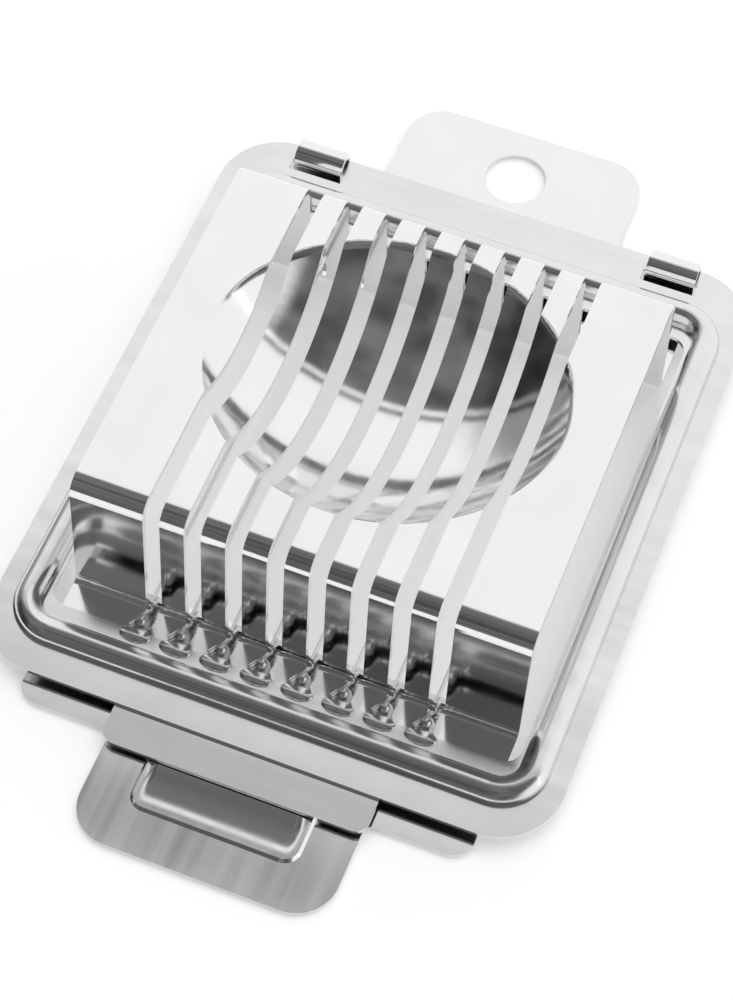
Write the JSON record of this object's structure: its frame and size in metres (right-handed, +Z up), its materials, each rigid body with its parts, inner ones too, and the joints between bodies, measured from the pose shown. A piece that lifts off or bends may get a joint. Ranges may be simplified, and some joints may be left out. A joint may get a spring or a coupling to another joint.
{
  "type": "egg slicer",
  "caption": "Hand egg slicer of polished steel: slotted egg cradle on a bent base with handle and hanging tab, and a hinged frame of cutting wires.",
  "frame": {"origin": "under the middle of the closed slicer, on the surface that it stands on", "axes": "+Z up, +Y from the handle towards the hinge and hanging tab, +X across the slicer"},
  "size_m": [0.085, 0.136, 0.0228],
  "materials": {
    "base_steel": "polished",
    "frame_steel": "polished",
    "wire_steel": "drawn wire"
  },
  "bodies": {
    "cradle": {"base_cradle": "base_steel"},
    "frame": {"wire_frame": "frame_steel", "wire_1": "wire_steel", "wire_2": "wire_steel", "wire_3": "wire_steel", "wire_4": "wire_steel", "wire_5": "wire_steel", "wire_6": "wire_steel", "wire_7": "wire_steel", "wire_8": "wire_steel"}
  },
  "joints": [
    {"name": "frame_hinge", "type": "hinge", "parent": "cradle", "child": "frame", "pos_m": [0, 0.04975, 0.00255], "axis": [-1, 0, 0], "range_deg": [0, 120]}
  ]
}
